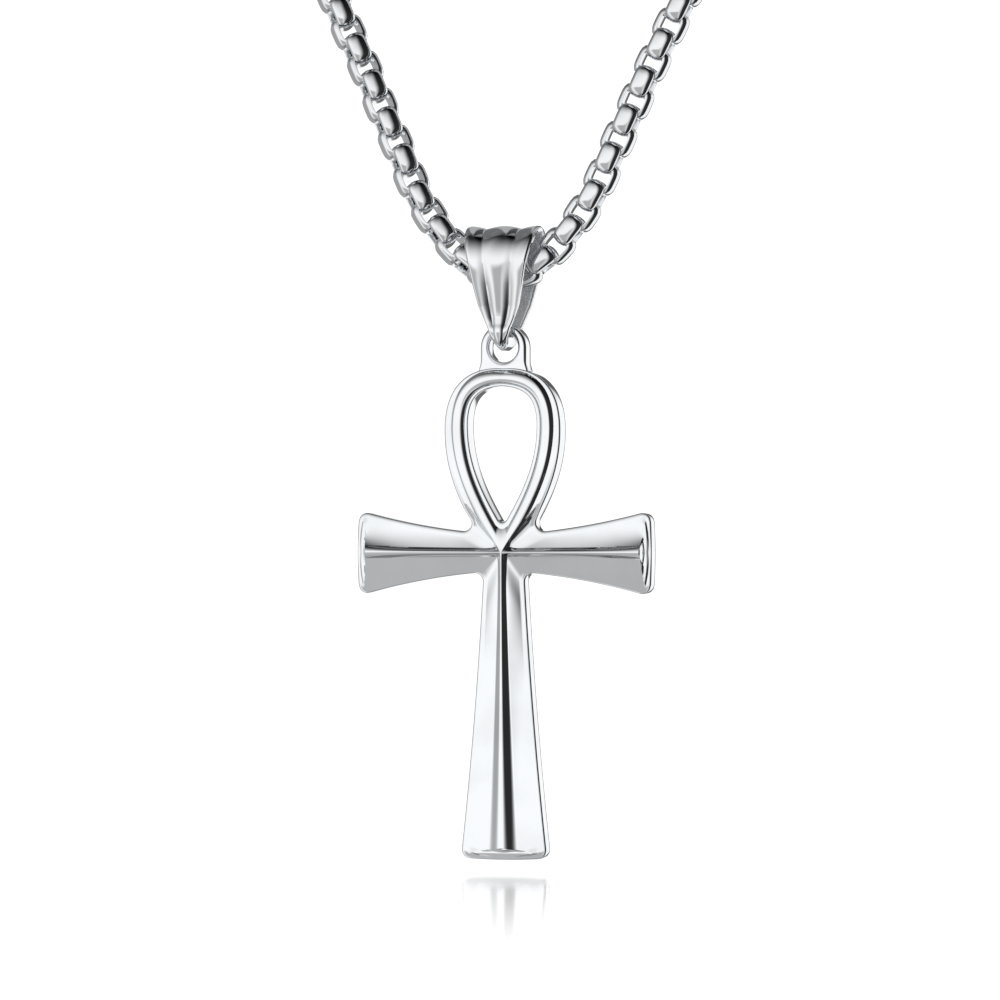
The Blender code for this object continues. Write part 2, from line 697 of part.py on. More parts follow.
def add_clasp(material, chain):
    """A plain barrel that takes both ends of the chain, along X."""
    half = CLASP_LENGTH / 2
    profile = [(-half, 0.0), (-half, CLASP_END_RADIUS - CLASP_ROUND)]
    profile.append((CLASP_ROUND - half, CLASP_END_RADIUS))
    for step in range(CLASP_STATIONS + 1):
        share = step / CLASP_STATIONS
        swell = 4 * share * (1 - share)
        along = (half - 2 * CLASP_ROUND) * (2 * share - 1)
        profile.append((along, CLASP_END_RADIUS + (CLASP_RADIUS - CLASP_END_RADIUS) * swell))
    profile.append((half - CLASP_ROUND, CLASP_END_RADIUS))
    profile += [(half, CLASP_END_RADIUS - CLASP_ROUND), (half, 0.0)]
    rows = []
    for along, radius in profile:
        row = []
        for step in range(CLASP_SIDES):
            angle = 2 * math.pi * step / CLASP_SIDES
            row.append(Vector((along, radius * math.cos(angle), radius * math.sin(angle))))
        rows.append(row)
    mesh = mesh_from("clasp", [(rows, False, True)])
    return add_object("clasp", mesh, material, parent=chain)


def main():
    clear_scene()
    bright = steel("bright steel", (0.80, 0.80, 0.81), 0.06)
    cast = steel("cast steel", (0.66, 0.66, 0.67), 0.12)
    links = steel("link steel", (0.74, 0.74, 0.75), 0.1)
    chain = add_chain(links)
    add_clasp(bright, chain)
    bail = add_bail(cast, chain)
    add_ankh(bright, bail)


main()
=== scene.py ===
"""Looks of the ankh pendant: polished steel ankh, fluted bail, round link chain and clasp.

Every piece stands where its solid of the frame does. Lengths are in metres, +Z up, and the
wearer faces -Y. The camera looks from the wearer's left at the height of the ankh.
"""

import math

import bmesh
import bpy
from mathutils import Matrix, Vector
from mathutils.geometry import intersect_line_line_2d, intersect_point_line


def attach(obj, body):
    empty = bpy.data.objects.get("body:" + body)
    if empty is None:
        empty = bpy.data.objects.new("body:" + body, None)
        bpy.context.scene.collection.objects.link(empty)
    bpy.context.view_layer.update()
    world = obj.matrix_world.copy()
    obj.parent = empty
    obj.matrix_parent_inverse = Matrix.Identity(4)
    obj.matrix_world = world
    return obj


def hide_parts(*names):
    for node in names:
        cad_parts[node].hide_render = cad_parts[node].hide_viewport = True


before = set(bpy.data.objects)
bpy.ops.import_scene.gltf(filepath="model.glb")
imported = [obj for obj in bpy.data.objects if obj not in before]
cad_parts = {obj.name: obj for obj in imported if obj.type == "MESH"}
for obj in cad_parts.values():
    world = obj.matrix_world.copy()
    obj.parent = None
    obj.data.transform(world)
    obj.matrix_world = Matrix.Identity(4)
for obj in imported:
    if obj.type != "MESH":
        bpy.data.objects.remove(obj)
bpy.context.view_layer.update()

MM = 0.001

# Places in the frame: the chain's lowest point, the bail's pivot, the ankh's crossing
CHAIN_LOW = Vector((0.0, -0.120, -0.185))
BAIL_PIVOT = Vector((0.0, -0.120, -0.1839))
CROSSING = Vector((0.0, -0.120, -0.208775))

# Half of the chain's route in millimetres from its lowest point, up the wearer's left side
CHAIN_ROUTE = (
    (0.0, 0.0, 0.0),
    (1.9, 0.0, 0.35),
    (3.56, 0.05, 1.45),
    (5.82, 0.15, 3.9),
    (7.79, 0.3, 6.88),
    (9.26, 0.5, 10.16),
    (10.76, 0.7, 13.44),
    (12.18, 0.9, 16.7),
    (13.68, 1.15, 19.86),
    (15.2, 1.4, 23.0),
    (23.0, 4.0, 40.0),
    (39.5, 12.0, 76.0),
    (54.5, 26.0, 109.0),
    (63.0, 45.0, 136.0),
    (63.0, 69.0, 157.0),
    (53.0, 92.0, 171.0),
    (36.0, 108.0, 180.0),
    (18.0, 117.0, 184.0),
    (0.0, 120.0, 185.0),
)

# A link: a strap bent into a ring, crowned outside, that stands across its neighbours. Where X
# is below 0, at the picture's left, the left twist turns them about the chain, in degrees
LINK_PITCH = 1.7694 * MM
LINK_HALF_LENGTH = 1.45 * MM
LINK_HALF_WIDTH = 1.44 * MM
LINK_EDGE_HALF = (1.0 * MM, 1.05 * MM)
LINK_HOLE_HALF = (0.88 * MM, 0.93 * MM)
LINK_BAND_HALF = 0.86 * MM
LINKS_EACH_SIDE = 157
FRONT_LINKS_EACH_SIDE = 20
LEFT_TWIST = -30.0

# Ankh, from the middle of the crossing: arms, stem and loop
ARM_REACH = 12.9 * MM
ARM_ROOT_HALF = 1.62 * MM
ARM_TIP_HALF = 3.78 * MM
ARM_FLARE = 0.14
ARM_TOP_SHARE = 0.95
ARM_HIP = 0.8 * MM
STEM_LENGTH = 26.2 * MM
STEM_ROOT_HALF = 1.75 * MM
STEM_TIP_HALF = 3.84 * MM
STEM_FLARE = 0.3
STEM_HIP = 0.9 * MM
END_BOW = 0.15 * MM
CORNER_RADIUS = 0.8 * MM
CROTCH_RADIUS = 0.7 * MM
LOOP_HEIGHT = 14.97 * MM
LOOP_HALF_WIDTH = 4.08 * MM
LOOP_BELLY_SHARE = 0.713
LOOP_BAND = 2.22 * MM
LOOP_TOP_BAND = 1.55 * MM
LOOP_NARROWING = 4
LOOP_TIP_RADIUS = 0.44 * MM

# How the loop's middle line bends: shares of its half width, of its height up to the belly
# on the way out, and of its height above the belly on the way back
LOOP_BEND_OUT = 0.49
LOOP_BEND_HEIGHTS = (0.321, 0.591)
LOOP_CROWN_RISE = 0.745
LOOP_CROWN_WIDTH = 0.6

# Ankh, its section: a rounded rib over hollow flanks, on a plate with a flat back
PLATE_THICKNESS = 1.75 * MM
RIB_RISE = 0.92 * MM
BACK_SHARE = 0.468
RIM_ACROSS = 0.42 * MM
RIM_SHARE = 0.14
RIM_DEEP = 0.18 * MM
BACK_ACROSS = 0.16 * MM
BACK_DEEP = 0.55 * MM

# The rib at a limb's root, at its tip, and how late it changes: half of its width, the heights
# of its foot and of the rim as shares of the rise, how round its top is from 1 for an edge to
# 3 for a dome, how softly its foot runs out, and how hollow its flank is, from 1 for a flat
# one. The arm's upper and under sides differ, and so do the loop's outer and inner sides
ARM_RIBS = ((0.5 * MM, 0.3, 0.0, 2.0, 0.0, 1.5), (0.6 * MM, 0.7, 0.0, 2.0, 0.0, 3.0), 3)
UNDER_RIBS = ((0.5 * MM, 0.3, 0.0, 2.0, 0.0, 1.2), (0.6 * MM, 0.7, 0.0, 2.0, 0.0, 1.3), 3)
STEM_RIBS = ((0.42 * MM, 0.58, 0.0, 2.0, 2.0, 0.7), (1.5 * MM, 0.3, 0.0, 2.0, 1.6, 2.0), 1.2)
OUTER_RIBS = ((0.7 * MM, 0.6, 0.6, 3.0, 0.0, 1.0), (0.9 * MM, 0.5, 0.5, 2.0, 0.0, 1.0), 3)
INNER_RIBS = ((0.98 * MM, 0.6, 0.6, 3.0, 0.0, 1.0), (0.66 * MM, 0.6, 0.6, 4.0, 0.0, 1.0), 3)
RIB_WIDEST = 0.94

# The same on the lines from the crossing to the arm's two fillets and to the hole, and on the
# line to the middle of a limb's end, with the width as a share of the way to the rim, then
# the share of a limb in which its own rib takes over, and how soon the end's rib does
CROTCH_RIB = (0.25, 0.45, 0.0, 2.0, 1.0, 1.0)
HOLE_RIB = (0.9, 0.6, 0.6, 3.0, 0.0, 1.0)
END_RIB = (0.45, 0.12, 0.0, 1.8, 1.0, 1.0)
RIB_BLEND = 0.12
END_BLEND = 2.4

# A low lip along a limb's end: its share of the rise, the ways from the end up to its top and
# down behind it, the way from the rim in which it begins, and how little it softens the rib
END_LIP = 0.17
END_LIP_FRONT = 0.55 * MM
END_LIP_BACK = 0.75 * MM
END_LIP_START = 0.3 * MM
END_LIP_BLEND = 4

# Where rows of points run: over half of the rib, and from its foot to the rim
RIB_STEPS = (0.0, 0.07, 0.15, 0.24, 0.35, 0.47, 0.6, 0.74, 0.88, 0.96, 1.0)
FLANK_STEPS = (0.04, 0.1, 0.17, 0.25, 0.35, 0.47, 0.6, 0.74, 0.88, 1.0)

# Round an edge: the shares of its radius outwards and backwards
ROUND_TURNS = (15, 30, 45, 60, 75, 90)
ROUND_STEPS = [(math.sin(math.radians(turn)), 1 - math.cos(math.radians(turn)))
               for turn in ROUND_TURNS]

# Eye on top of the loop
EYE_BORE_RADIUS = 1.25 * MM
EYE_WALL = 0.8 * MM
EYE_NECK = 0.53 * MM
EYE_THICKNESS = 1.9 * MM
EYE_BACK_STEP = 0.1 * MM
EYE_ROUND = 0.38 * MM
EYE_FLARE = 0.5 * MM
EYE_FOOT_WIDTH = 0.7
EYE_FOOT_DEPTH = 1.7 * MM

# Bail: half widths, walls and flutes as in its solid
BAIL_RADIUS = 2.35 * MM
BAIL_DROP = 6.4 * MM
BAIL_WALL = 0.75 * MM
BAIL_TOP_HALF_WIDTH = 3.25 * MM
BOW_THICKNESS = 1.25 * MM
BOW_HALF_WIDTH = 0.5 * MM
BOW_DOME = 0.45 * MM
BOW_BEND = 0.7 * MM
LEAF_GAP_HALF = 1.4496 * MM
LEAF_BENDS = ((0.06, 0.6), (0.95, 0.3))
FLUTE_DEPTH = 0.37 * MM
FLUTE_SPACING = 0.94

# Up the bail from the bow to the crown: height, then the shares of the way from the bow's
# half width to the crown's, from the leaf's wall to the bow's thickness, and of the flutes
BAIL_SECTIONS = (
    (0.00, 0.00, 1.0, 0.0),
    (0.05, 0.14, 0.8, 0.25),
    (0.12, 0.24, 0.35, 0.6),
    (0.19, 0.33, 0.1, 0.8),
    (0.31, 0.48, 0.0, 0.95),
    (0.51, 0.62, 0.0, 1.0),
    (0.69, 0.73, 0.0, 0.87),
    (1.00, 1.00, 0.0, 0.67),
)

# Round the bail's band: share of the way round, then the shares of the way across from its
# right edge and of the way out from its inside
BAND_SECTION = (
    (0.00, 0.00, 0.72),
    (0.02, 0.02, 0.93),
    (0.04, 0.06, 1.00),
    (0.56, 0.94, 1.00),
    (0.58, 0.98, 0.93),
    (0.60, 1.00, 0.72),
    (0.66, 1.00, 0.28),
    (0.68, 0.98, 0.07),
    (0.70, 0.94, 0.00),
    (0.92, 0.06, 0.00),
    (0.94, 0.02, 0.07),
    (0.96, 0.00, 0.28),
    (1.00, 0.00, 0.72),
)

# Across a link's strap: share of its half width, then the shares of the way from the hole to
# the edge line and on to the crown
LINK_SECTION = (
    (-1.00, 0.70, 0.00),
    (-0.96, 1.00, 0.16),
    (-0.82, 1.00, 0.55),
    (-0.62, 1.00, 0.79),
    (-0.34, 1.00, 0.95),
    (0.00, 1.00, 1.00),
    (0.34, 1.00, 0.95),
    (0.62, 1.00, 0.79),
    (0.82, 1.00, 0.55),
    (0.96, 1.00, 0.16),
    (1.00, 0.70, 0.00),
    (1.00, 0.20, 0.00),
    (0.92, 0.00, 0.00),
    (-0.92, 0.00, 0.00),
    (-1.00, 0.20, 0.00),
)
FAR_LINK_SECTION = (
    (-1.0, 1.0, 0.0),
    (0.0, 1.0, 1.0),
    (1.0, 1.0, 0.0),
    (1.0, 0.0, 0.0),
    (-1.0, 0.0, 0.0),
)

# How square a link's hole, edge line and crown are seen from the side: 2 is an ellipse
LINK_CORNERS = (4.0, 4.0, 3.6)

# Clasp: a barrel along X, with a cup at each end for the last link. Ways along it from its
# middle and radii, in millimetres
CLASP_PROFILE = (
    (-7.0, 1.15), (-7.05, 1.45), (-6.85, 1.7), (-6.2, 1.78),
    (-5.9, 1.62), (-5.7, 1.62), (-5.4, 1.9),
    (-4.0, 2.13), (-2.0, 2.33), (0.0, 2.4), (2.0, 2.33), (4.0, 2.13),
    (5.4, 1.9), (5.7, 1.62), (5.9, 1.62),
    (6.2, 1.78), (6.85, 1.7), (7.05, 1.45), (7.0, 1.15),
)
CLASP_CUP_DEPTH = 0.8 * MM
CLASP_SIDES = 40

# How finely curves are followed
EDGE_STEPS = 96
END_STEPS = 16
ARM_STATIONS = 44
STEM_STATIONS = 60
LOOP_STATIONS = 110
END_STATIONS = 10
CORNER_STEPS = 16
EYE_STATIONS = 56
CHAIN_FOLLOWED = 0.5 * MM
BEND_STEPS = 14
LEAF_STEPS = 40
CROWN_STEPS = 40
BAIL_STATIONS = 241
BAIL_SECTION_POINTS = 101
LINK_SIDES = 28
FAR_LINK_SIDES = 10
STEPS_PER_LINK = 8

# Points nearer than this are one, and an edge that turns more than this, in degrees, is sharp
WELD = 1e-7
BAND_WELD = 1e-6
SHARP_ANGLE = 40
ANKH_SHARP_ANGLE = 32

# What follows from the sizes above
EYE_RADIUS = EYE_BORE_RADIUS + EYE_WALL
EYE_CENTRE = LOOP_HEIGHT + LOOP_TOP_BAND / 2 + EYE_NECK + EYE_BORE_RADIUS
BACK = BACK_SHARE * (PLATE_THICKNESS + RIB_RISE)
RIM = BACK - PLATE_THICKNESS

# The photograph's view: from 15 degrees to the wearer's left, with a long lens
CAMERA_TARGET = Vector((-0.00045, -0.120, -0.2043))
CAMERA_AZIMUTH = 15.0
CAMERA_DISTANCE = 0.55
FRAME_WIDTH = 0.0857
CAMERA_CLIP = (0.01, 20.0)

# A steel: its colour, its roughness, what haze adds to that, and how deep its wiping marks are
BRIGHT_STEEL = ((0.9, 0.92, 0.94), 0.03, 0.02, 0.0006 * MM)
CAST_STEEL = ((0.87, 0.885, 0.905), 0.05, 0.04, 0.0008 * MM)
LINK_STEEL = ((0.84, 0.855, 0.875), 0.06, 0.04, 0.001 * MM)
RIPPLE_DEPTH = 0.0035 * MM
DULL_SHARE = 0.94

# How fine the steel's patterns are, in cells to the metre
CLOUD_SCALE = 260.0
RIPPLE_SCALE = 420.0
MARK_SCALES = (5200.0, 5200.0, 700.0)
CROSS_MARK_SCALES = (900.0, 3000.0, 6400.0)

# The bail's unpolished inside: its roughness, its metallic value, and how far a face's normal
# points back along the way from the pivot line where it begins and where it is whole
SATIN_ROUGHNESS = 0.32
SATIN_METALLIC = 0.55
SATIN_FACING = (0.0, -0.4 * MM)

# Floor: a little below the stem's end, whole only there, and gone from the fade's first distance
FLOOR_HEIGHT = -0.23588
FLOOR_REACH = 6.0
FLOOR_FADE = (0.125, 0.0)
FLOOR_TONES = ((0.78, 0.78, 0.78, 1.0), (0.82, 0.82, 0.82, 1.0))
FLOOR_ROUGHNESS = (0.08, 0.1)
FLOOR_IOR = 1.33
FLOOR_GLOW = 0.31

# The studio's white light, and the plain white that the camera sees in its place
WHITE = (1.0, 1.0, 1.0, 1.0)
STUDIO_LIGHT = 1.05
BACKDROP_LIGHT = 1.15

# Dark parts of the studio: the share of the light that each takes, then where it fades in and
# out by turn, by rise and by way forward. A turn is in degrees from -Y towards +X, a rise is in
# degrees above the horizon, and a way forward is 1 along -Y and -1 along +Y
STUDIO_PARTS = (
    # Panel to the right
    (0.975, ((15, 52), (122, 108)), (), ()),
    # Strip at the back, on both sides of +Y
    (0.85, ((167, 172),), (), ()),
    (0.85, ((-170, -174),), (), ()),
    # Grey at the left
    (0.62, ((-52, -86), (-160, -152)), (), ()),
    # Ceiling in front, then the paler one behind, and the top of both
    (0.95, (), ((4, 80),), ((-0.2, 0.05),)),
    (0.58, (), ((8, 25),), ((0.05, -0.2),)),
    (0.6, (), ((68, 84),), ()),
    # Low in front, and the ground straight below
    (0.54, ((-56, -30), (34, 8)), ((-3, -12),), ()),
    (0.5, (), ((-56, -70),), ()),
)


class Value:
    """An output of a node tree. Arithmetic on it adds Math nodes."""

    def __init__(self, tree, socket):
        self.tree = tree
        self.socket = socket

    def math(self, operation, *values, **settings):
        settings["operation"] = operation
        return self.tree.node("ShaderNodeMath", settings, values)

    def other(self, name):
        """Another output of the same node."""
        return Value(self.tree, self.socket.node.outputs[name])

    def __add__(self, value):
        return self.math("ADD", self, value)

    def __radd__(self, value):
        return self.math("ADD", value, self)

    def __sub__(self, value):
        return self.math("SUBTRACT", self, value)

    def __rsub__(self, value):
        return self.math("SUBTRACT", value, self)

    def __mul__(self, value):
        return self.math("MULTIPLY", self, value)

    def __rmul__(self, value):
        return self.math("MULTIPLY", value, self)

    def __truediv__(self, value):
        return self.math("DIVIDE", self, value)

    def __mod__(self, value):
        return self.math("MODULO", self, value)

    def __abs__(self):
        return self.math("ABSOLUTE", self)

    def floor(self):
        return self.math("FLOOR", self)

    def cosine(self):
        return self.math("COSINE", self)

    def from_to(self, low, high):
        """0 up to low, 1 from high on, smooth between them; low may be the larger of the two."""
        settings = {"interpolation_type": "SMOOTHSTEP"}
        if low < high:
            return self.tree.node("ShaderNodeMapRange", settings, {0: self, 1: low, 2: high})
        return 1 - self.tree.node("ShaderNodeMapRange", settings, {0: self, 1: high, 2: low})


class Tree:
    """A shader or geometry node tree that is built from its values."""

    def __init__(self, nodes):
        self.tree = nodes

    def node(self, kind, settings=None, values=(), output=0):
        """Adds a node of a type: its settings first, then the values or links of its sockets."""
        made = self.tree.nodes.new(kind)
        for name, setting in (settings or {}).items():
            if name == "table":
                fill_table(made, setting)
            else:
                setattr(made, name, setting)
        pairs = values.items() if isinstance(values, dict) else enumerate(values)
        for key, value in pairs:
            if isinstance(value, Value):
                self.tree.links.new(value.socket, made.inputs[key])
            else:
                made.inputs[key].default_value = value
        return Value(self, made.outputs[output])

    def noise(self, vector, scale, detail=2.0, roughness=0.5):
        values = {"Vector": vector, "Scale": scale, "Detail": detail, "Roughness": roughness}
        return self.node("ShaderNodeTexNoise", {}, values)

    def stretched(self, vector, factors):
        return self.node("ShaderNodeVectorMath", {"operation": "MULTIPLY"}, (vector, factors))

    def along(self, vector, direction):
        settings = {"operation": "DOT_PRODUCT"}
        return self.node("ShaderNodeVectorMath", settings, (vector, direction), "Value")

    def away(self, vector, place):
        settings = {"operation": "DISTANCE"}
        return self.node("ShaderNodeVectorMath", settings, (vector, place), "Value")

    def colour(self, share, first, second):
        """A colour that turns from the first to the second as a share goes from 0 to 1."""
        return self.node("ShaderNodeMix", {"data_type": "RGBA"}, {0: share, 6: first, 7: second}, 2)

    def column(self, share, rows, number):
        """A column of a table read at a share of its first column."""
        table = [(row[0], row[number]) for row in rows]
        return self.node("ShaderNodeFloatCurve", {"table": table}, (1.0, share))


def fill_table(made, rows):
    """Sets a curve node's points, joined by straight lines."""
    curve = made.mapping.curves[0]
    while len(curve.points) < len(rows):
        curve.points.new(0.5, 0.5)
    for point, (share, value) in zip(curve.points, rows):
        point.location = (share, value)
        point.handle_type = "VECTOR"
    made.mapping.update()


def geometry_tree(name, inputs):
    """A geometry tree with named inputs, and its own inputs as values."""
    group = bpy.data.node_groups.new(name, "GeometryNodeTree")
    group.interface.new_socket("Geometry", in_out="INPUT", socket_type="NodeSocketGeometry")
    for label, kind in inputs:
        group.interface.new_socket(label, in_out="INPUT", socket_type=kind)
    group.interface.new_socket("Geometry", in_out="OUTPUT", socket_type="NodeSocketGeometry")
    tree = Tree(group)
    first = tree.node("NodeGroupInput")
    return tree, {label: first.other(label) for label in ["Geometry"] + [one[0] for one in inputs]}


def finish_tree(tree, shape, material):
    """Ends a geometry tree in real faces of one material."""
    real = tree.node("GeometryNodeRealizeInstances", {}, (shape,))
    dressed = tree.node("GeometryNodeSetMaterial", {}, {"Geometry": real, "Material": material})
    end = tree.tree.nodes.new("NodeGroupOutput")
    tree.tree.links.new(dressed.socket, end.inputs[0])


def grown(name, base, tree, settings):
    """A plain mesh object that a geometry tree makes from a base mesh."""
    seed = bpy.data.objects.new(name + "_base", base)
    bpy.context.collection.objects.link(seed)
    modifier = seed.modifiers.new(name, "NODES")
    modifier.node_group = tree.tree
    items = tree.tree.interface.items_tree
    sockets = {item.name: item.identifier for item in items if item.in_out == "INPUT"}
    for label, setting in settings.items():
        modifier[sockets[label]] = setting
    evaluated = seed.evaluated_get(bpy.context.evaluated_depsgraph_get())
    mesh = bpy.data.meshes.new_from_object(evaluated)
    mesh.name = name
    bpy.data.objects.remove(seed)
    made = bpy.data.objects.new(name, mesh)
    bpy.context.collection.objects.link(made)
    return made


def polished_steel(name, colour, roughness, haze, scratch):
    """Polished steel: faint clouds in its tone and gloss, fine wiping marks and a slow ripple."""
    material = bpy.data.materials.new(name)
    material.use_nodes = True
    tree = Tree(material.node_tree)
    shader = material.node_tree.nodes["Principled BSDF"]
    place = tree.node("ShaderNodeTexCoord").other("Object")
    clouds = tree.noise(place, CLOUD_SCALE, 3.0)
    marks = tree.noise(tree.stretched(place, MARK_SCALES), 1.0, 3.0, 0.6)
    cross_marks = tree.noise(tree.stretched(place, CROSS_MARK_SCALES), 1.0, 2.0, 0.6)
    ripple = tree.noise(place, RIPPLE_SCALE, 1.0)
    wiped = (marks - 0.5) * 0.6 + (cross_marks - 0.5) * 0.4
    dull = tuple(part * DULL_SHARE for part in colour)
    tone = tree.colour(clouds.from_to(0.35, 0.7), (*colour, 1.0), (*dull, 1.0))
    gloss = roughness + haze * clouds.from_to(0.4, 0.75) + haze * abs(wiped)
    height = wiped * scratch + ripple * RIPPLE_DEPTH
    bump = tree.node("ShaderNodeBump", {}, {"Strength": 1.0, "Distance": 1.0, "Height": height})
    for label, value in (("Base Color", tone), ("Roughness", gloss), ("Normal", bump)):
        material.node_tree.links.new(value.socket, shader.inputs[label])
    shader.inputs["Metallic"].default_value = 1.0
    return material


def satin_inside(material):
    """Leaves the faces that look towards the bail's pivot line satin, as cast and not polished."""
    tree = Tree(material.node_tree)
    shader = material.node_tree.nodes["Principled BSDF"]
    place = tree.node("ShaderNodeTexCoord").other("Object")
    normal = tree.node("ShaderNodeTexCoord").other("Normal")
    settings = {"operation": "SUBTRACT"}
    offset = tree.node("ShaderNodeVectorMath", settings, (place, BAIL_PIVOT))
    parts = tree.node("ShaderNodeSeparateXYZ", {}, (offset,))
    above = parts.other("Z").math("MAXIMUM", parts.other("Z"), 0.0)
    outwards = tree.node("ShaderNodeCombineXYZ", {}, (0.0, parts.other("Y"), above))
    inside = tree.along(outwards, normal).from_to(*SATIN_FACING)
    polished = Value(tree, shader.inputs["Roughness"].links[0].from_socket)
    gloss = polished + inside * (SATIN_ROUGHNESS - polished)
    metal = 1.0 + inside * (SATIN_METALLIC - 1.0)
    material.node_tree.links.new(gloss.socket, shader.inputs["Roughness"])
    material.node_tree.links.new(metal.socket, shader.inputs["Metallic"])


def pale_floor():
    """A smooth white table: soft reflections at a flat angle, and no edge where it runs out."""
    material = bpy.data.materials.new("pale floor")
    material.use_nodes = True
    tree = Tree(material.node_tree)
    shader = material.node_tree.nodes["Principled BSDF"]
    place = tree.node("ShaderNodeTexCoord").other("Object")
    clouds = tree.noise(place, 3.0, 2.0)
    tone = tree.colour(clouds, *FLOOR_TONES)
    smooth, rough = FLOOR_ROUGHNESS
    gloss = smooth + clouds * (rough - smooth)
    fade = tree.away(place, (CROSSING.x, CROSSING.y, FLOOR_HEIGHT)).from_to(*FLOOR_FADE)
    for label, value in (("Base Color", tone), ("Roughness", gloss), ("Alpha", fade)):
        material.node_tree.links.new(value.socket, shader.inputs[label])
    shader.inputs["IOR"].default_value = FLOOR_IOR
    shader.inputs["Emission Color"].default_value = WHITE
    shader.inputs["Emission Strength"].default_value = FLOOR_GLOW
    return material


def studio_light():
    """A white studio all round, with dark parts that only the steel and the floor show."""
    world = bpy.data.worlds.new("studio")
    world.use_nodes = True
    bpy.context.scene.world = world
    tree = Tree(world.node_tree)
    way = tree.node("ShaderNodeTexCoord").other("Generated")
    x = tree.along(way, (1.0, 0.0, 0.0))
    forward = tree.along(way, (0.0, -1.0, 0.0))
    height = tree.along(way, (0.0, 0.0, 1.0))
    turn = x.math("ARCTAN2", x, forward) * (180 / math.pi)
    rise = height.math("ARCSINE", height) * (180 / math.pi)
    light = STUDIO_LIGHT
    for taken, *fades in STUDIO_PARTS:
        shade = taken
        for place, ends in zip((turn, rise, forward), fades):
            for start, whole in ends:
                shade = shade * place.from_to(start, whole)
        light = light * (1 - shade)
    seen = tree.node("ShaderNodeLightPath").other("Is Camera Ray")
    strength = light + seen * (BACKDROP_LIGHT - light)
    background = world.node_tree.nodes["Background"]
    background.inputs["Color"].default_value = WHITE
    world.node_tree.links.new(strength.socket, background.inputs["Strength"])


def add_piece(name, mesh, material=None):
    piece = bpy.data.objects.new(name, mesh)
    bpy.context.collection.objects.link(piece)
    if material:
        mesh.materials.append(material)
    return piece


def mesh_from(name, grids):
    """A mesh of quads over grids of points: rows of equal length, each with the way it closes."""
    shape = bmesh.new()
    for rows, closed_rows, closed_columns in grids:
        corners = [[shape.verts.new(point) for point in row] for row in rows]
        if closed_rows:
            corners.append(corners[0])
        for row, following in zip(corners, corners[1:]):
            if closed_columns:
                row = row + row[:1]
                following = following + following[:1]
            for index in range(len(row) - 1):
                near = row[index], row[index + 1]
                shape.faces.new((*near, following[index + 1], following[index]))
    bmesh.ops.remove_doubles(shape, verts=shape.verts, dist=WELD)
    bmesh.ops.recalc_face_normals(shape, faces=shape.faces)
    mesh = bpy.data.meshes.new(name)
    shape.to_mesh(mesh)
    shape.free()
    mesh.shade_smooth()
    mesh.set_sharp_from_angle(angle=math.radians(SHARP_ANGLE))
    return mesh


def bezier(points, share):
    """The point at a share of the way along a Bezier curve of any degree."""
    while len(points) > 1:
        points = [a.lerp(b, share) for a, b in zip(points, points[1:])]
    return points[0]


def curve_through(points, spacing):
    """Points at most a spacing apart on a smooth curve through the given points."""
    curve = []
    for index in range(len(points) - 1):
        start, end = points[index], points[index + 1]
        before = points[max(index - 1, 0)]
        after = points[min(index + 2, len(points) - 1)]
        pull = (end - start).length / 3
        leave = start + (end - before).normalized() * pull
        arrive = end - (after - start).normalized() * pull
        steps = math.ceil((end - start).length / spacing)
        curve += [bezier([start, leave, arrive, end], step / steps) for step in range(steps)]
    return curve + [points[-1]]


def lengths_along(points):
    lengths = [0.0]
    for a, b in zip(points, points[1:]):
        lengths.append(lengths[-1] + (b - a).length)
    return lengths


def point_at(points, lengths, length):
    """The point at a length along a row of points."""
    for index in range(len(points) - 1):
        if length <= lengths[index + 1]:
            step = lengths[index + 1] - lengths[index]
            return points[index].lerp(points[index + 1], (length - lengths[index]) / step)
    return points[-1].copy()


def spread(points, count):
    """That many steps along a row of points, closest together at its two ends."""
    lengths = lengths_along(points)
    shares = [0.5 - 0.5 * math.cos(math.pi * step / count) for step in range(count + 1)]
    return [point_at(points, lengths, share * lengths[-1]) for share in shares]


def flared_edge(reach, root_half, tip_half, flare):
    """An edge that runs out to a reach while it moves away from the middle line."""
    waist = root_half + flare * (tip_half - root_half)
    corners = [Vector((0, root_half)), Vector((reach / 2, waist)), Vector((reach, tip_half))]
    return [bezier(corners, step / EDGE_STEPS) for step in range(EDGE_STEPS + 1)]


def end_edge(reach, tip_half):
    """From the middle of a limb's end to its corner, a little bowed outwards."""
    corners = [Vector((reach + END_BOW, 0)), Vector((reach + END_BOW, tip_half / 2))]
    return [bezier(corners + [Vector((reach, tip_half))], step / END_STEPS)
            for step in range(END_STEPS + 1)]


def loop_middle():
    """The loop's middle line, from the crossing up its right side to the top."""
    belly = LOOP_HEIGHT * LOOP_BELLY_SHARE
    side = [
        Vector((0, 0)),
        Vector((LOOP_BEND_OUT * LOOP_HALF_WIDTH, LOOP_BEND_HEIGHTS[0] * belly)),
        Vector((LOOP_HALF_WIDTH, LOOP_BEND_HEIGHTS[1] * belly)),
        Vector((LOOP_HALF_WIDTH, belly)),
    ]
    crown = [
        Vector((LOOP_HALF_WIDTH, belly)),
        Vector((LOOP_HALF_WIDTH, belly + LOOP_CROWN_RISE * (LOOP_HEIGHT - belly))),
        Vector((LOOP_CROWN_WIDTH * LOOP_HALF_WIDTH, LOOP_HEIGHT)),
        Vector((0, LOOP_HEIGHT)),
    ]
    line = [bezier(side, step / EDGE_STEPS) for step in range(EDGE_STEPS)]
    return line + [bezier(crown, step / EDGE_STEPS) for step in range(EDGE_STEPS + 1)]


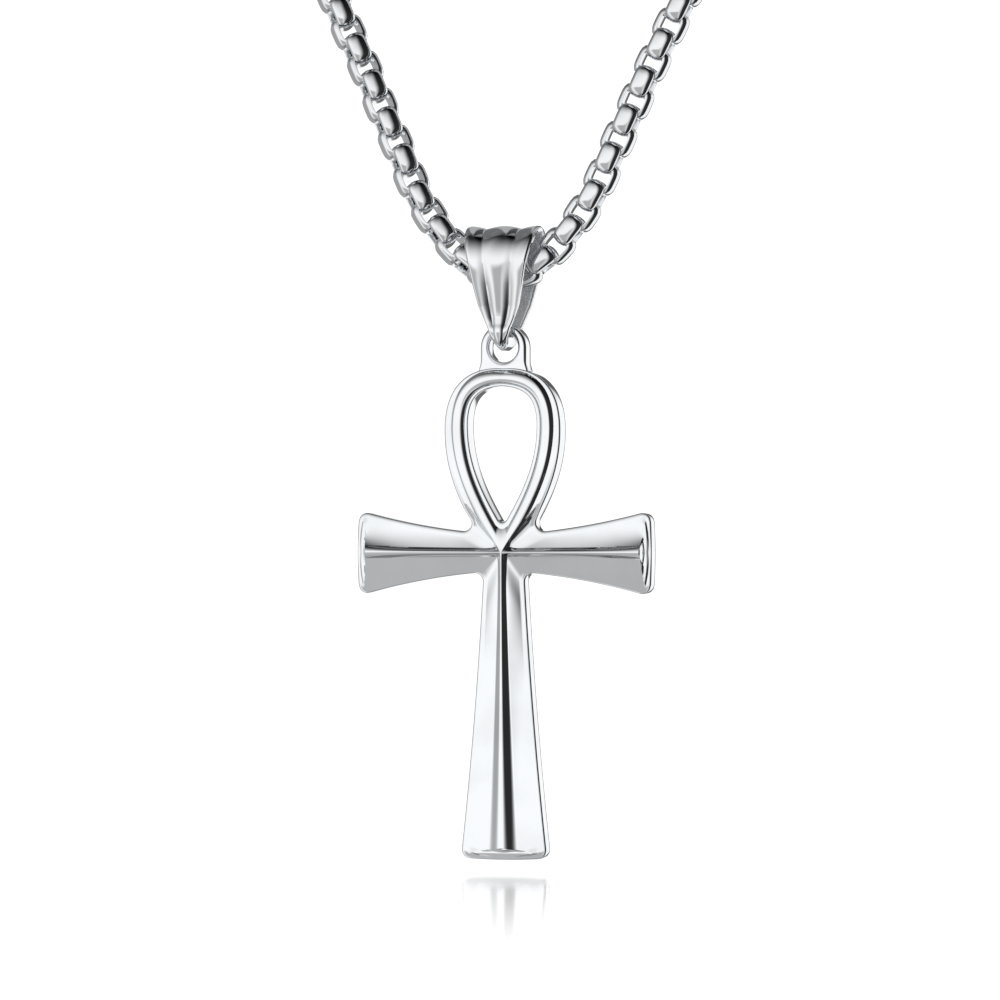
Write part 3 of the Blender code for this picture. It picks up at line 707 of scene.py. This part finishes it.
def loop_edge(middle, side):
    """The loop's outer edge for side 1 and its inner edge for side -1."""
    lengths = lengths_along(middle)
    edge = []
    for index, point in enumerate(middle):
        along = middle[min(index + 1, len(middle) - 1)] - middle[max(index - 1, 0)]
        if index == len(middle) - 1:
            along = Vector((-1, 0))
        along.normalize()
        share = lengths[index] / lengths[-1]
        half_band = (LOOP_BAND + (LOOP_TOP_BAND - LOOP_BAND) * share**LOOP_NARROWING) / 2
        edge.append(point + side * half_band * Vector((along.y, -along.x)))
    return edge


def cut_at_crossing(first, second):
    """Two rows of points, each cut back to start where they cross."""
    for i in range(len(first) - 1):
        for j in range(len(second) - 1):
            meeting = intersect_line_line_2d(first[i], first[i + 1], second[j], second[j + 1])
            if meeting:
                return [meeting] + first[i + 1 :], [meeting] + second[j + 1 :]
    raise ValueError("the two edges don't cross")


def set_off(points, distance):
    """A row of points moved sideways in the plane, to the right of its way if positive."""
    moved = []
    for index, point in enumerate(points):
        along = points[min(index + 1, len(points) - 1)] - points[max(index - 1, 0)]
        along.normalize()
        moved.append(point + distance * Vector((along.y, -along.x)))
    return moved


def touched(points, centre):
    """The place on a row of points nearest to a centre, and the points that follow it."""
    nearest = None
    for index in range(len(points) - 1):
        foot, share = intersect_point_line(centre, points[index], points[index + 1])
        foot = points[index].lerp(points[index + 1], min(max(share, 0), 1))
        if nearest is None or (foot - centre).length < (nearest[0] - centre).length:
            nearest = foot, points[index + 1 :]
    return nearest


def rounded(first, second, radius):
    """Two edges that start at one corner, joined by an arc: each then starts at its middle."""
    turn = (first[1] - first[0]).cross(second[1] - second[0])
    side = -math.copysign(radius, turn)
    centre = cut_at_crossing(set_off(first, side), set_off(second, -side))[0][0]
    feet = [touched(edge, centre) for edge in (first, second)]
    middle = (feet[0][0] + feet[1][0]) / 2 - centre
    halves = []
    for foot, rest in feet:
        turn = math.atan2(middle.cross(foot - centre), middle.dot(foot - centre))
        arc = []
        for step in range(CORNER_STEPS + 1):
            angle = math.atan2(middle.y, middle.x) + turn * step / CORNER_STEPS
            arc.append(centre + radius * Vector((math.cos(angle), math.sin(angle))))
        halves.append(arc + rest)
    return halves


def outward_normals(rim, crest):
    """Unit vectors in the plane, square to the rim and away from the crest."""
    normals = []
    for index, point in enumerate(rim):
        along = rim[min(index + 1, len(rim) - 1)] - rim[max(index - 1, 0)]
        normal = Vector((along.y, -along.x)).normalized()
        if normal.dot(point - crest[index]) < 0:
            normal.negate()
        if abs(point.x) < 1e-9:
            normal = Vector((0, math.copysign(1, normal.y)))
        if abs(point.y) < 1e-9:
            normal = Vector((math.copysign(1, normal.x), 0))
        normals.append(normal)
    return normals


def blended(first, second, share):
    return tuple(a + share * (b - a) for a, b in zip(first, second))


def rib_at(edge, ridge_line, length_share, ribs, mitre_rib):
    """The rib's numbers on one row, the first as a share of the way across."""
    feet = [touched(ridge_line, edge)[0], ridge_line[-1]]
    reach = min((edge - foot).length for foot in feet)
    root, tip, growth = ribs
    half, *others = blended(root, tip, length_share**growth)
    plain = (min(half / reach, RIB_WIDEST), *others)
    blend = min(length_share / RIB_BLEND, 1)
    return blended(mitre_rib, plain, blend * blend * (3 - 2 * blend))


def lip_rise(point, to_rim):
    """How high the low lip along a limb's end stands at a point of the front."""
    inwards = min(ARM_REACH - abs(point.x), STEM_LENGTH + point.y) + END_BOW
    front = min(inwards / END_LIP_FRONT, 1)
    behind = min(max((inwards - END_LIP_FRONT) / END_LIP_BACK, 0), 1)
    slope = 1 - behind * behind * (3 - 2 * behind)
    return END_LIP * front * slope * min(to_rim / END_LIP_START, 1)


def section_rows(rim, crest, ribs):
    """Rows of points in space across one bay, from the rib's crest over the rim to the back."""
    rows = []
    for edge, ridge, normal, rib in zip(rim, crest, outward_normals(rim, crest), ribs):
        foot, foot_rise, rim_rise, top, soft, hollow = rib
        roll = min(RIM_ACROSS, RIM_SHARE * (edge - ridge).length)
        lip = edge - normal * roll
        profile = []
        for step in RIB_STEPS:
            fall = step**top * (1 + soft * (1 - step))
            profile.append((foot * step, 1 - (1 - foot_rise) * fall))
        for step in FLANK_STEPS:
            left = (1 - step) ** hollow if hollow > 1 else 1 - step ** (1 / hollow)
            rise = rim_rise + (foot_rise - rim_rise) * left
            profile.append((foot + (1 - foot) * step, rise))
        row = []
        for across, rise in profile:
            point = ridge.lerp(lip, across)
            lip_share = lip_rise(point, (lip - point).length)
            rise = (rise**END_LIP_BLEND + lip_share**END_LIP_BLEND) ** (1 / END_LIP_BLEND)
            row.append((point, RIM - rise * RIB_RISE))
        front = RIM - rim_rise * RIB_RISE
        for bend, dip in ROUND_STEPS:
            row.append((lip + normal * roll * bend, front + RIM_DEEP * dip))
        for bend, dip in ROUND_STEPS[::-1]:
            row.append((edge - normal * BACK_ACROSS * (1 - bend), BACK - BACK_DEEP * dip))
        row += [(edge - normal * BACK_ACROSS, BACK), (ridge, BACK)]
        rows.append([Vector((point.x, depth, point.y)) for point, depth in row])
    return rows


def limb_bay(side_edge, limb_end, ridge_end, stations, limb_ribs):
    """Rim, crest and ribs of half a limb, from the middle of its fillet to its end."""
    side_back, end_back = rounded(side_edge[::-1], limb_end[::-1], CORNER_RADIUS)
    rim = spread(side_back[::-1], stations)
    ridge_line = [Vector((0, 0)), ridge_end]
    crest = spread(ridge_line, stations)
    ribs = []
    for edge, ridge in zip(rim, crest):
        length_share = ridge.length / ridge_end.length
        ribs.append(rib_at(edge, ridge_line, length_share, limb_ribs, CROTCH_RIB))
    rim += spread(end_back, END_STATIONS)[1:]
    crest += [ridge_end] * END_STATIONS
    last = ribs[-1]
    for number in range(END_STATIONS):
        ribs.append(blended(last, END_RIB, min(END_BLEND * (number + 1) / END_STATIONS, 1)))
    return rim, crest, ribs


def loop_bay(edge_line, ridge_line, mitre_rib, loop_ribs):
    """Rim, crest and ribs of one side of the loop, from the crossing to the top."""
    rim = spread(edge_line, LOOP_STATIONS)
    crest = spread(ridge_line, LOOP_STATIONS)
    ribs = []
    for number, edge in enumerate(rim):
        length_share = 0.5 - 0.5 * math.cos(math.pi * number / LOOP_STATIONS)
        ribs.append(rib_at(edge, ridge_line, length_share, loop_ribs, mitre_rib))
    return rim, crest, ribs


def turned_down(points):
    """Points given along +X laid along the stem, which runs down."""
    return [Vector((point.y, -point.x)) for point in points]


def ankh_half():
    """The ankh's right half in three bays: stem and arm, arm and loop, loop and its hole."""
    under_edge = flared_edge(ARM_REACH, ARM_ROOT_HALF, ARM_TIP_HALF, ARM_FLARE)
    under_end = end_edge(ARM_REACH, ARM_TIP_HALF)
    arm_edge = [Vector((point.x, point.y * ARM_TOP_SHARE)) for point in under_edge]
    arm_end = [Vector((point.x, point.y * ARM_TOP_SHARE)) for point in under_end]
    stem_edge = turned_down(flared_edge(STEM_LENGTH, STEM_ROOT_HALF, STEM_TIP_HALF, STEM_FLARE))
    stem_end = turned_down(end_edge(STEM_LENGTH, STEM_TIP_HALF))
    under_arm = [Vector((point.x, -point.y)) for point in under_edge]
    under_arm_end = [Vector((point.x, -point.y)) for point in under_end]
    middle = loop_middle()
    arm_ridge = Vector((ARM_REACH - ARM_HIP, 0))
    stem_ridge = Vector((0, STEM_HIP - STEM_LENGTH))

    lower_arm, stem_side = rounded(*cut_at_crossing(under_arm, stem_edge), CROTCH_RADIUS)
    upper_arm, loop_side = rounded(*cut_at_crossing(arm_edge, loop_edge(middle, 1)), CROTCH_RADIUS)
    inner_edge = loop_edge(middle, -1)
    mirrored_edge = [Vector((-point.x, point.y)) for point in inner_edge]
    hole_side = rounded(*cut_at_crossing(inner_edge, mirrored_edge), LOOP_TIP_RADIUS)[0]

    bays = [
        (limb_bay(lower_arm, under_arm_end, arm_ridge, ARM_STATIONS, UNDER_RIBS),
         limb_bay(stem_side, stem_end, stem_ridge, STEM_STATIONS, STEM_RIBS)),
        (limb_bay(upper_arm, arm_end, arm_ridge, ARM_STATIONS, ARM_RIBS),
         loop_bay(loop_side, middle, CROTCH_RIB, OUTER_RIBS)),
        (([], [], []), loop_bay(hole_side, middle, HOLE_RIB, INNER_RIBS)),
    ]
    halves = []
    for near, far in bays:
        rim, crest, ribs = (one[:0:-1] + other for one, other in zip(near, far))
        halves.append(section_rows(rim, crest, ribs))
    return halves


def eye_section(inner, outer):
    """A rounded ring of points between a place on the bore and one on the eye's outside."""
    back = BACK - EYE_BACK_STEP
    front = back - EYE_THICKNESS
    length = (outer - inner).length
    corner = [(EYE_ROUND * (1 - bend), EYE_ROUND * dip) for bend, dip in ROUND_STEPS[::-1]]
    corner.append((EYE_ROUND, 0.0))
    ring = [(across, front + deep) for across, deep in corner]
    ring += [(length - across, front + deep) for across, deep in corner[::-1]]
    ring += [(length - across, back - deep) for across, deep in corner]
    ring += [(across, back - deep) for across, deep in corner[::-1]]
    points = []
    for across, depth in ring:
        place = inner.lerp(outer, across / length)
        points.append(Vector((place.x, depth, place.y)))
    return points


def eye_mesh():
    """The eye: a thick ring whose shoulders run down into the loop's top."""
    centre = Vector((0, EYE_CENTRE))
    neck = EYE_CENTRE - EYE_BORE_RADIUS
    shoulder = [
        Vector((EYE_RADIUS + EYE_FLARE, neck - EYE_FOOT_DEPTH)),
        Vector((EYE_RADIUS, neck - EYE_FLARE / 2)),
        Vector((EYE_RADIUS, neck)),
    ]
    foot = Vector((EYE_RADIUS * EYE_FOOT_WIDTH, LOOP_HEIGHT - LOOP_TOP_BAND / 4))
    side = [Vector((0, LOOP_HEIGHT)), foot]
    side += [bezier(shoulder, step / EYE_STATIONS) for step in range(EYE_STATIONS + 1)]
    for step in range(EYE_STATIONS + 1):
        angle = math.radians(90 * step / EYE_STATIONS)
        side.append(centre + EYE_RADIUS * Vector((math.cos(angle), math.sin(angle))))
    outside = spread(side, EYE_STATIONS)
    rows = []
    for point in outside:
        rows.append(eye_section(centre + EYE_BORE_RADIUS * (point - centre).normalized(), point))
    rows += mirrored(rows[-2:0:-1])
    return mesh_from("eye", [(rows, True, True)])


def mirrored(rows):
    return [[Vector((-point.x, point.y, point.z)) for point in row] for row in rows]


def make_ankh(material):
    grids = []
    for right in ankh_half():
        for row in right:
            for point in row:
                if abs(point.x) < 10 * WELD:
                    point.x = 0.0
        grids += [(right, False, False), (mirrored(right), False, False)]
    ankh = add_piece("ankh_polished", mesh_from("ankh_polished", grids))
    eye = add_piece("eye_ring", eye_mesh())
    union = ankh.modifiers.new("eye", "BOOLEAN")
    union.operation = "UNION"
    union.object = eye
    evaluated = ankh.evaluated_get(bpy.context.evaluated_depsgraph_get())
    mesh = bpy.data.meshes.new_from_object(evaluated)
    bpy.data.objects.remove(eye)
    ankh.modifiers.clear()
    ankh.data = mesh
    mesh.transform(Matrix.Translation(CROSSING))
    mesh.shade_smooth()
    mesh.set_sharp_from_angle(angle=math.radians(ANKH_SHARP_ANGLE))
    mesh.materials.clear()
    mesh.materials.append(material)
    return ankh


def bail_line():
    """The bail's inner line in depth and height from its pivot, all the way round."""
    half = [Vector((0, -BAIL_DROP))]
    for step in range(BEND_STEPS + 1):
        angle = math.radians(90 * step / BEND_STEPS)
        bend = BOW_BEND * Vector((math.sin(angle), 1 - math.cos(angle)))
        half.append(Vector((LEAF_GAP_HALF - BOW_BEND, -BAIL_DROP)) + bend)
    foot = half.pop()
    spread_out = BAIL_RADIUS - LEAF_GAP_HALF
    leaf = [foot]
    for out, height in LEAF_BENDS:
        leaf.append(Vector((LEAF_GAP_HALF + out * spread_out, height * foot.y)))
    leaf.append(Vector((BAIL_RADIUS, 0)))
    half += [bezier(leaf, step / LEAF_STEPS) for step in range(LEAF_STEPS)]
    for step in range(CROWN_STEPS + 1):
        angle = math.radians(90 * step / CROWN_STEPS)
        half.append(BAIL_RADIUS * Vector((math.cos(angle), math.sin(angle))))
    return half + [Vector((-point.x, point.y)) for point in half[-2:0:-1]]


def strung(name, lines):
    """A mesh of edges only, a row of points for each line, open or closed."""
    points, edges = [], []
    for line, closed in lines:
        start = len(points)
        points += line
        edges += [(start + step, start + step + 1) for step in range(len(line) - 1)]
        if closed:
            edges.append((len(points) - 1, start))
    mesh = bpy.data.meshes.new(name)
    mesh.from_pydata(points, edges, [])
    return mesh


def bail_tree():
    """A fluted band swept round a line in the plane of Y and Z, wide at its crown."""
    sizes = ["Crown Half Width", "Bow Half Width", "Wall", "Bow Thickness", "Bow Dome",
             "Flute Depth", "Drop", "Radius"]
    inputs = [(size, "NodeSocketFloat") for size in sizes]
    inputs += [("Stations", "NodeSocketInt"), ("Section Points", "NodeSocketInt")]
    inputs += [("Steel", "NodeSocketMaterial")]
    tree, given = geometry_tree("fluted bail", inputs)
    line = tree.node("GeometryNodeMeshToCurve", {}, {"Mesh": given["Geometry"]})
    grid = tree.node("GeometryNodeMeshGrid", {}, {"Size X": 1.0, "Size Y": 1.0,
                                                  "Vertices X": given["Stations"],
                                                  "Vertices Y": given["Section Points"]})
    number = tree.node("GeometryNodeInputIndex")
    station = (number / given["Section Points"]).floor()
    round_share = (number - station * given["Section Points"]) / (given["Section Points"] - 1)
    line_share = station / (given["Stations"] - 1)
    sampled = tree.node("GeometryNodeSampleCurve", {"mode": "FACTOR"},
                        {"Curves": line, "Factor": line_share}, "Position")
    tangent = sampled.other("Tangent")
    place = tree.node("ShaderNodeSeparateXYZ", {}, (sampled,))
    along = tree.node("ShaderNodeSeparateXYZ", {}, (tangent,))
    height = (place.other("Z") + given["Drop"]) / (given["Drop"] + given["Radius"])
    width_share, bow_share, flute_share = (
        tree.column(height, BAIL_SECTIONS, column) for column in (1, 2, 3))
    widening = given["Crown Half Width"] - given["Bow Half Width"]
    half_width = given["Bow Half Width"] + width_share * widening
    wall = given["Wall"] + bow_share * (given["Bow Thickness"] - given["Wall"])
    across = 1 - 2 * tree.column(round_share, BAND_SECTION, 1)
    outwards = tree.column(round_share, BAND_SECTION, 2)
    lobe = abs((across * (math.pi / FLUTE_SPACING)).cosine())
    dome = bow_share * given["Bow Dome"] * (across * across)
    height_out = outwards * (wall - flute_share * given["Flute Depth"] * (1 - lobe) - dome)
    placed = tree.node("ShaderNodeCombineXYZ", {}, (
        across * half_width,
        place.other("Y") + along.other("Z") * height_out,
        place.other("Z") - along.other("Y") * height_out))
    band = tree.node("GeometryNodeSetPosition", {}, {"Geometry": grid, "Position": placed})
    closed = tree.node("GeometryNodeMergeByDistance", {},
                       {"Geometry": band, "Distance": BAND_WELD})
    smooth = tree.node("GeometryNodeSetShadeSmooth", {},
                       {"Geometry": closed, "Shade Smooth": True})
    finish_tree(tree, smooth, given["Steel"])
    return tree


def make_bail(material):
    line = [Vector((0, point.x, point.y)) for point in bail_line()]
    settings = {
        "Crown Half Width": BAIL_TOP_HALF_WIDTH,
        "Bow Half Width": BOW_HALF_WIDTH,
        "Wall": BAIL_WALL,
        "Bow Thickness": BOW_THICKNESS,
        "Bow Dome": BOW_DOME,
        "Flute Depth": FLUTE_DEPTH,
        "Drop": BAIL_DROP,
        "Radius": BAIL_RADIUS,
        "Stations": BAIL_STATIONS,
        "Section Points": BAIL_SECTION_POINTS,
        "Steel": material,
    }
    bail = grown("bail_fluted", strung("bail_line", [(line, True)]), bail_tree(), settings)
    bail.data.transform(Matrix.Translation(BAIL_PIVOT))
    outward(bail.data)
    return bail


def outward(mesh):
    """Turns a closed mesh's faces outwards and marks its sharp edges."""
    shape = bmesh.new()
    shape.from_mesh(mesh)
    bmesh.ops.recalc_face_normals(shape, faces=shape.faces)
    shape.to_mesh(mesh)
    shape.free()
    mesh.set_sharp_from_angle(angle=math.radians(SHARP_ANGLE))


def superellipse(angle, halves, corners):
    """How far a rounded rectangle reaches from its middle at an angle."""
    across, along = halves
    sideways = abs(math.cos(angle) / across) ** corners
    lengthwise = abs(math.sin(angle) / along) ** corners
    return (sideways + lengthwise) ** (-1 / corners)


def link_object(name, sides, section):
    """One link round the origin: its ring stands in Y and Z, and the chain runs along Z."""
    halves = (LINK_HOLE_HALF, LINK_EDGE_HALF, (LINK_HALF_WIDTH, LINK_HALF_LENGTH))
    rows = []
    for step in range(sides):
        angle = 2 * math.pi * (step + 0.5) / sides
        hole, edge, crown = (
            superellipse(angle, half, corners) for half, corners in zip(halves, LINK_CORNERS))
        way = Vector((0.0, math.cos(angle), math.sin(angle)))
        row = []
        for across, out, crowned in section:
            reach = hole + out * (edge - hole) + crowned * (crown - edge)
            row.append(reach * way + Vector((across * LINK_BAND_HALF, 0.0, 0.0)))
        rows.append(row)
    return add_piece(name, mesh_from(name, [(rows, True, True)]))


def links_tree():
    """Links along lines, each turned a quarter from the one before, and all turned to face -Y."""
    tree, given = geometry_tree("row of links", [
        ("Link", "NodeSocketObject"), ("Links", "NodeSocketInt"), ("First Turn", "NodeSocketInt"),
        ("Left Twist", "NodeSocketFloat"), ("Steel", "NodeSocketMaterial")])
    line = tree.node("GeometryNodeMeshToCurve", {}, {"Mesh": given["Geometry"]})
    stops = tree.node("GeometryNodeResampleCurve", {}, {"Curve": line, "Count": given["Links"]})
    link = tree.node("GeometryNodeObjectInfo", {}, {"Object": given["Link"]}, "Geometry")
    number = tree.node("GeometryNodeSplineParameter").other("Index")
    tangent = tree.node("GeometryNodeInputTangent")
    axes = {"primary_axis": "Z", "secondary_axis": "Y"}
    facing = tree.node("FunctionNodeAxesToRotation", axes, (tangent, (0.0, -1.0, 0.0)))
    side = tree.node("ShaderNodeSeparateXYZ", {}, (tree.node("GeometryNodeInputPosition"),))
    left = side.from_to(BAIL_TOP_HALF_WIDTH, -BAIL_TOP_HALF_WIDTH)
    turn = (number + given["First Turn"]) % 2 * (math.pi / 2) + left * given["Left Twist"]
    about = tree.node("FunctionNodeAxisAngleToRotation", {},
                      {"Axis": (0.0, 0.0, 1.0), "Angle": turn})
    turned = tree.node("FunctionNodeRotateRotation", {"rotation_space": "LOCAL"}, (facing, about))
    row = tree.node("GeometryNodeInstanceOnPoints", {},
                    {"Points": stops, "Instance": link, "Rotation": turned})
    finish_tree(tree, row, given["Steel"])
    return tree


def chain_side():
    """The chain's middle line from its lowest point to its last link, on the wearer's left."""
    points = [Vector(point) * MM + CHAIN_LOW for point in CHAIN_ROUTE]
    smooth = curve_through(points, CHAIN_FOLLOWED)
    return smooth, lengths_along(smooth)


def make_links(material):
    smooth, lengths = chain_side()

    def stretch(first, last):
        """The line through the links from the first to the last, counted from the lowest one."""
        count = abs(last - first) * STEPS_PER_LINK
        line = []
        for step in range(count + 1):
            length = (first + (last - first) * step / count) * LINK_PITCH
            point = point_at(smooth, lengths, abs(length))
            line.append(Vector((math.copysign(1, length) * point.x, point.y, point.z)))
        return line

    tree = links_tree()
    shared = {"Left Twist": math.radians(LEFT_TWIST), "Steel": material}
    near = link_object("near_link", LINK_SIDES, LINK_SECTION)
    far = link_object("far_link", FAR_LINK_SIDES, FAR_LINK_SECTION)
    front_count = 2 * FRONT_LINKS_EACH_SIDE + 1
    front_line = stretch(-FRONT_LINKS_EACH_SIDE, FRONT_LINKS_EACH_SIDE)
    front = grown("front_links", strung("front_line", [(front_line, False)]), tree,
                  {"Link": near, "Links": front_count, "First Turn": 0, **shared})
    back_lines = [
        (stretch(FRONT_LINKS_EACH_SIDE + 1, LINKS_EACH_SIDE), False),
        (stretch(-FRONT_LINKS_EACH_SIDE - 1, -LINKS_EACH_SIDE), False),
    ]
    back_count = LINKS_EACH_SIDE - FRONT_LINKS_EACH_SIDE
    back = grown("back_links", strung("back_lines", back_lines), tree,
                 {"Link": far, "Links": back_count, "First Turn": 1, **shared})
    for helper in (near, far):
        bpy.data.objects.remove(helper)
    return front, back


def make_clasp(material):
    profile = [(along * MM, radius * MM) for along, radius in CLASP_PROFILE]
    end = profile[-1][0] - CLASP_CUP_DEPTH
    profile = [(-end, 0.0), (-end, profile[0][1])] + profile + [(end, profile[-1][1]), (end, 0.0)]
    rows = []
    for along, radius in profile:
        row = []
        for step in range(CLASP_SIDES):
            angle = 2 * math.pi * step / CLASP_SIDES
            row.append(Vector((along, radius * math.cos(angle), radius * math.sin(angle))))
        rows.append(row)
    return add_piece("clasp_barrel", mesh_from("clasp_barrel", [(rows, False, True)]), material)


def make_floor(height):
    mesh = bpy.data.meshes.new("floor")
    signs = ((-1, -1), (1, -1), (1, 1), (-1, 1))
    corners = [(FLOOR_REACH * x, FLOOR_REACH * y, height) for x, y in signs]
    mesh.from_pydata(corners, [], [(0, 1, 2, 3)])
    floor = add_piece("floor", mesh, pale_floor())
    floor.visible_glossy = False
    return floor


def make_camera():
    data = bpy.data.cameras.new("camera")
    camera = bpy.data.objects.new("camera", data)
    bpy.context.collection.objects.link(camera)
    turn = math.radians(CAMERA_AZIMUTH)
    data.lens = data.sensor_width * CAMERA_DISTANCE / FRAME_WIDTH
    data.clip_start, data.clip_end = CAMERA_CLIP
    camera.location = CAMERA_TARGET + CAMERA_DISTANCE * Vector((math.sin(turn), -math.cos(turn), 0))
    camera.rotation_euler = (math.radians(90), 0, turn)
    bpy.context.scene.camera = camera


bright = polished_steel("bright steel", *BRIGHT_STEEL)
cast = polished_steel("cast steel", *CAST_STEEL)
satin_inside(cast)
linked = polished_steel("link steel", *LINK_STEEL)

ankh = make_ankh(bright)
bail = make_bail(cast)
front_links, back_links = make_links(linked)
clasp = make_clasp(linked)
floor = make_floor(FLOOR_HEIGHT)

studio_light()
make_camera()
bpy.context.scene.view_settings.view_transform = "Standard"

for piece, rider, node, finish in (
    (ankh, "ankh", "ankh", "bright_steel"),
    (bail, "bail", "bail", "cast_steel"),
    (front_links, "neck_chain", "chain", "link_steel"),
    (back_links, "neck_chain", "chain", "link_steel"),
    (clasp, "neck_chain", "clasp", "bright_steel"),
):
    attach(piece, rider)
    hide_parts(node)
